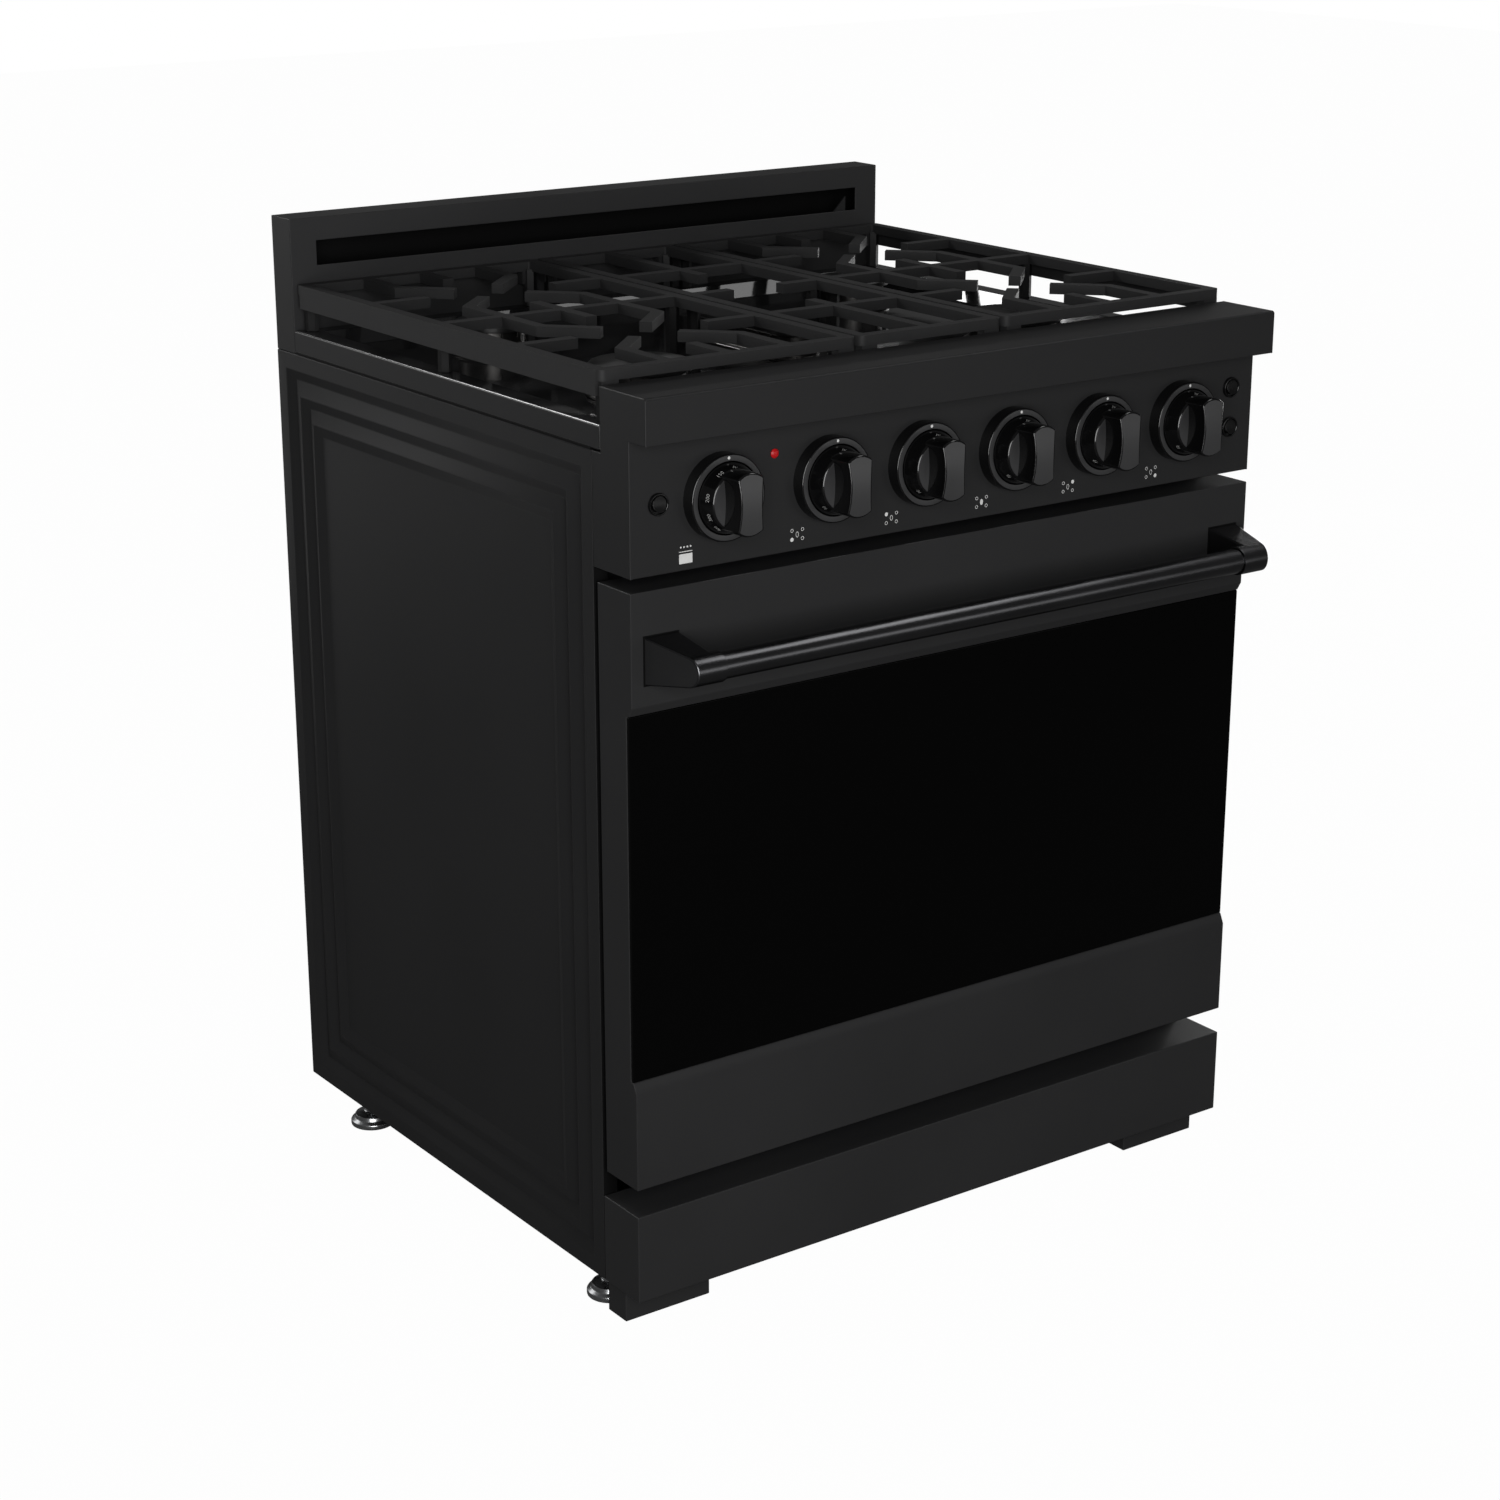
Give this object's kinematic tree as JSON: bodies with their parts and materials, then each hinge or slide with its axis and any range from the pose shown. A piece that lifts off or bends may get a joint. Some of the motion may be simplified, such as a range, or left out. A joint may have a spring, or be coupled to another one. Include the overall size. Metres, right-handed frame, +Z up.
{
  "type": "freestanding gas range",
  "caption": "Freestanding black gas range with cast grates over sealed burners, knobs and rocker switches on the front, a glass oven door with a bar handle, and a low rear vent.",
  "frame": {"origin": "on the floor, under the middle of the overall width and depth, handle included", "axes": "+Z up, the front with its door and knobs faces -Y, +X to the right as the cook sees it"},
  "size_m": [0.76, 0.729, 0.999],
  "materials": {
    "black_paint": "satin black powder coat",
    "gloss_enamel": "gloss black porcelain enamel",
    "cast_iron": "matte black enamelled cast iron",
    "cap_enamel": "satin black enamelled iron",
    "burner_alloy": "cast, bead-blasted",
    "black_glass": "polished, black backed",
    "oven_enamel": "speckled porcelain enamel on steel",
    "gloss_plastic": "gloss black",
    "bright_steel": "zinc plated",
    "chrome_wire": "bright chrome plate",
    "zinc_sheet": "galvanised",
    "brass_pipe": "drawn",
    "red_lens": "translucent red"
  },
  "bodies": {
    "range": {"left_side_panel": "black_paint", "right_side_panel": "black_paint", "base_pan": "zinc_sheet", "rear_cover": "zinc_sheet", "kick_panel": "black_paint", "front_leg_left": "black_paint", "front_leg_right": "black_paint", "oven_liner": "oven_enamel", "bake_burner": "zinc_sheet", "fan_cover": "oven_enamel", "door_hinge_left": "zinc_sheet", "door_hinge_right": "zinc_sheet", "control_panel": "black_paint", "indicator_lamp": "red_lens", "gas_manifold": "brass_pipe", "landing_ledge": "black_paint", "cooktop_pan": "gloss_enamel", "burner_head_front_left": "burner_alloy", "burner_head_rear_left": "burner_alloy", "burner_head_rear_right": "burner_alloy", "burner_head_front_right": "burner_alloy", "burner_head_centre": "burner_alloy", "backguard": "black_paint"},
    "door": {"door_panel": "black_paint", "door_glass": "black_glass", "door_liner": "oven_enamel", "door_inner_glass": "black_glass", "handle_bracket_left": "black_paint", "handle_bracket_right": "black_paint", "handle_bar": "black_paint"},
    "stem_oven_body": {"stem_oven": "zinc_sheet"},
    "knob_oven_body": {"knob_oven": "gloss_plastic"},
    "stem_front_left_body": {"stem_front_left": "zinc_sheet"},
    "knob_front_left_body": {"knob_front_left": "gloss_plastic"},
    "stem_rear_left_body": {"stem_rear_left": "zinc_sheet"},
    "knob_rear_left_body": {"knob_rear_left": "gloss_plastic"},
    "stem_centre_body": {"stem_centre": "zinc_sheet"},
    "knob_centre_body": {"knob_centre": "gloss_plastic"},
    "stem_rear_right_body": {"stem_rear_right": "zinc_sheet"},
    "knob_rear_right_body": {"knob_rear_right": "gloss_plastic"},
    "stem_front_right_body": {"stem_front_right": "zinc_sheet"},
    "knob_front_right_body": {"knob_front_right": "gloss_plastic"},
    "switch_left_body": {"switch_left": "gloss_plastic"},
    "switch_right_upper_body": {"switch_right_upper": "gloss_plastic"},
    "switch_right_lower_body": {"switch_right_lower": "gloss_plastic"},
    "cap_front_left_body": {"burner_cap_front_left": "cap_enamel"},
    "cap_rear_left_body": {"burner_cap_rear_left": "cap_enamel"},
    "cap_rear_right_body": {"burner_cap_rear_right": "cap_enamel"},
    "cap_front_right_body": {"burner_cap_front_right": "cap_enamel"},
    "cap_centre_body": {"burner_cap_centre": "cap_enamel"},
    "grate_left_body": {"grate_left": "cast_iron"},
    "grate_centre_body": {"grate_centre": "cast_iron"},
    "grate_right_body": {"grate_right": "cast_iron"},
    "foot_front_left_body": {"levelling_foot_front_left": "bright_steel"},
    "foot_front_right_body": {"levelling_foot_front_right": "bright_steel"},
    "foot_rear_left_body": {"levelling_foot_rear_left": "bright_steel"},
    "foot_rear_right_body": {"levelling_foot_rear_right": "bright_steel"},
    "rack_lower_body": {"oven_rack_lower": "chrome_wire"},
    "rack_upper_body": {"oven_rack_upper": "chrome_wire"},
    "fan_body": {"convection_fan": "zinc_sheet"}
  },
  "joints": [
    {"name": "door_hinge", "type": "hinge", "parent": "range", "child": "door", "pos_m": [0, -0.2665, 0.162], "axis": [1, 0, 0], "range_deg": [0, 90], "stiffness_Nm_per_rad": 20, "springref_deg": -20.05},
    {"name": "oven_push", "type": "slide", "parent": "range", "child": "stem_oven_body", "axis": [0, 1, 0], "range_m": [0, 0.004], "stiffness_N_per_m": 800},
    {"name": "oven_turn", "type": "hinge", "parent": "stem_oven_body", "child": "knob_oven_body", "pos_m": [-0.282, -0.2995, 0.8167], "axis": [0, -1, 0], "range_deg": [0, 320]},
    {"name": "front_left_push", "type": "slide", "parent": "range", "child": "stem_front_left_body", "axis": [0, 1, 0], "range_m": [0, 0.004], "stiffness_N_per_m": 800},
    {"name": "front_left_turn", "type": "hinge", "parent": "stem_front_left_body", "child": "knob_front_left_body", "pos_m": [-0.16, -0.2995, 0.8167], "axis": [0, -1, 0], "range_deg": [0, 230]},
    {"name": "rear_left_push", "type": "slide", "parent": "range", "child": "stem_rear_left_body", "axis": [0, 1, 0], "range_m": [0, 0.004], "stiffness_N_per_m": 800},
    {"name": "rear_left_turn", "type": "hinge", "parent": "stem_rear_left_body", "child": "knob_rear_left_body", "pos_m": [-0.05, -0.2995, 0.8167], "axis": [0, -1, 0], "range_deg": [0, 230]},
    {"name": "centre_push", "type": "slide", "parent": "range", "child": "stem_centre_body", "axis": [0, 1, 0], "range_m": [0, 0.004], "stiffness_N_per_m": 800},
    {"name": "centre_turn", "type": "hinge", "parent": "stem_centre_body", "child": "knob_centre_body", "pos_m": [0.06, -0.2995, 0.8167], "axis": [0, -1, 0], "range_deg": [0, 230]},
    {"name": "rear_right_push", "type": "slide", "parent": "range", "child": "stem_rear_right_body", "axis": [0, 1, 0], "range_m": [0, 0.004], "stiffness_N_per_m": 800},
    {"name": "rear_right_turn", "type": "hinge", "parent": "stem_rear_right_body", "child": "knob_rear_right_body", "pos_m": [0.17, -0.2995, 0.8167], "axis": [0, -1, 0], "range_deg": [0, 230]},
    {"name": "front_right_push", "type": "slide", "parent": "range", "child": "stem_front_right_body", "axis": [0, 1, 0], "range_m": [0, 0.004], "stiffness_N_per_m": 800},
    {"name": "front_right_turn", "type": "hinge", "parent": "stem_front_right_body", "child": "knob_front_right_body", "pos_m": [0.28, -0.2995, 0.8167], "axis": [0, -1, 0], "range_deg": [0, 230]},
    {"name": "switch_left_rock", "type": "hinge", "parent": "range", "child": "switch_left_body", "pos_m": [-0.3495, -0.2995, 0.8178], "axis": [1, 0, 0], "range_deg": [0, 18]},
    {"name": "switch_right_upper_rock", "type": "hinge", "parent": "range", "child": "switch_right_upper_body", "pos_m": [0.3495, -0.2995, 0.8417], "axis": [1, 0, 0], "range_deg": [0, 18]},
    {"name": "switch_right_lower_rock", "type": "hinge", "parent": "range", "child": "switch_right_lower_body", "pos_m": [0.3495, -0.2995, 0.8011], "axis": [1, 0, 0], "range_deg": [0, 18]},
    {"name": "cap_front_left_lift", "type": "slide", "parent": "range", "child": "cap_front_left_body", "axis": [0, 0, 1], "range_m": [0, 0.012]},
    {"name": "cap_rear_left_lift", "type": "slide", "parent": "range", "child": "cap_rear_left_body", "axis": [0, 0, 1], "range_m": [0, 0.012]},
    {"name": "cap_rear_right_lift", "type": "slide", "parent": "range", "child": "cap_rear_right_body", "axis": [0, 0, 1], "range_m": [0, 0.012]},
    {"name": "cap_front_right_lift", "type": "slide", "parent": "range", "child": "cap_front_right_body", "axis": [0, 0, 1], "range_m": [0, 0.012]},
    {"name": "cap_centre_lift", "type": "slide", "parent": "range", "child": "cap_centre_body", "axis": [0, 0, 1], "range_m": [0, 0.012]},
    {"name": "grate_left_lift", "type": "slide", "parent": "range", "child": "grate_left_body", "axis": [0, 0, 1], "range_m": [0, 0.06]},
    {"name": "grate_centre_lift", "type": "slide", "parent": "range", "child": "grate_centre_body", "axis": [0, 0, 1], "range_m": [0, 0.06]},
    {"name": "grate_right_lift", "type": "slide", "parent": "range", "child": "grate_right_body", "axis": [0, 0, 1], "range_m": [0, 0.06]},
    {"name": "foot_front_left_extend", "type": "slide", "parent": "range", "child": "foot_front_left_body", "axis": [0, 0, -1], "range_m": [0, 0.02]},
    {"name": "foot_front_right_extend", "type": "slide", "parent": "range", "child": "foot_front_right_body", "axis": [0, 0, -1], "range_m": [0, 0.02]},
    {"name": "foot_rear_left_extend", "type": "slide", "parent": "range", "child": "foot_rear_left_body", "axis": [0, 0, -1], "range_m": [0, 0.02]},
    {"name": "foot_rear_right_extend", "type": "slide", "parent": "range", "child": "foot_rear_right_body", "axis": [0, 0, -1], "range_m": [0, 0.02]},
    {"name": "rack_lower_slide", "type": "slide", "parent": "range", "child": "rack_lower_body", "axis": [0, -1, 0], "range_m": [0, 0.015]},
    {"name": "rack_upper_slide", "type": "slide", "parent": "range", "child": "rack_upper_body", "axis": [0, -1, 0], "range_m": [0, 0.015]},
    {"name": "fan_spin", "type": "hinge", "parent": "range", "child": "fan_body", "pos_m": [0, 0.2125, 0.43], "axis": [0, 1, 0], "continuous": true}
  ]
}
